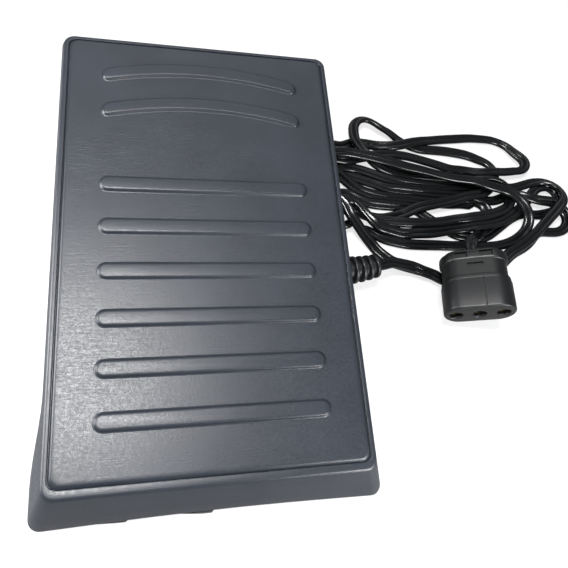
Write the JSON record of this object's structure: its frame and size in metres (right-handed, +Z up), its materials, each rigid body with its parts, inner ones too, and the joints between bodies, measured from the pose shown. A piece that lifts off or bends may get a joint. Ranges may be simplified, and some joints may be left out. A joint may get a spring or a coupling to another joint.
{
  "type": "sewing machine foot control",
  "caption": "Ribbed foot control pedal with a sprung treadle on a sloping base, its speed control inside, and a folded flat lead ending in a round-hole machine plug.",
  "frame": {"origin": "middle of the pedal's bounding box on the floor, without its lead", "axes": "+Y from heel to toe, +X to the side where the lead leaves, +Z up"},
  "size_m": [0.2517, 0.1805, 0.0414],
  "materials": {
    "treadle_plastic": "satin moulded",
    "base_plastic": "satin moulded",
    "axle_steel": "drawn",
    "cap_plastic": "moulded",
    "spring_steel": "wound wire",
    "foot_rubber": "moulded",
    "board_laminate": "coated",
    "screw_steel": "plated",
    "part_plastic": "moulded",
    "lever_plastic": "moulded",
    "sink_aluminium": "rolled",
    "coil_copper": "enamelled wire",
    "capacitor_plastic": "dipped",
    "resistor_coating": "dipped",
    "block_plastic": "moulded",
    "contact_brass": "turned",
    "lead_vinyl": "extruded",
    "relief_vinyl": "moulded",
    "plug_vinyl": "moulded",
    "plug_face_vinyl": "moulded"
  },
  "bodies": {
    "base": {"base_tray": "base_plastic", "hinge_axle": "axle_steel", "hinge_caps": "cap_plastic", "return_spring_left": "spring_steel", "return_spring_right": "spring_steel", "stop_bumpers": "foot_rubber", "rubber_feet": "foot_rubber", "circuit_board": "board_laminate", "board_screws": "screw_steel", "potentiometer": "part_plastic", "triac": "part_plastic", "heat_sink": "sink_aluminium", "triac_screw": "screw_steel", "choke_coil": "coil_copper", "capacitor": "capacitor_plastic", "resistors": "resistor_coating", "terminal_block": "block_plastic", "terminal_screws": "contact_brass", "inner_leads": "lead_vinyl", "cord_clamp": "part_plastic", "clamp_screws": "screw_steel", "strain_relief": "relief_vinyl", "lead_outgoing": "lead_vinyl", "lead_crossing": "lead_vinyl", "lead_bundle": "lead_vinyl", "lead_plug_end": "lead_vinyl", "plug_rear": "plug_vinyl", "plug_face": "plug_face_vinyl", "plug_contacts": "contact_brass"},
    "treadle": {"treadle": "treadle_plastic"},
    "wiper": {"wiper_lever": "lever_plastic"}
  },
  "joints": [
    {"name": "treadle_hinge", "type": "hinge", "parent": "base", "child": "treadle", "pos_m": [0, -0.06831, 0.0096], "axis": [1, 0, 0], "range_deg": [-3.2, 0], "stiffness_Nm_per_rad": 18, "springref_deg": 2.98, "deforming": ["return_spring_left", "return_spring_right"]},
    {"name": "wiper_turn", "type": "hinge", "parent": "base", "child": "wiper", "pos_m": [-0.027, 0.00869, 0.0156], "axis": [1, 0, 0], "range_deg": [-18.72, 0]}
  ],
  "couplings": [
    {"joint": "wiper_turn", "follows": "treadle_hinge", "ratio": 5.8353}
  ]
}
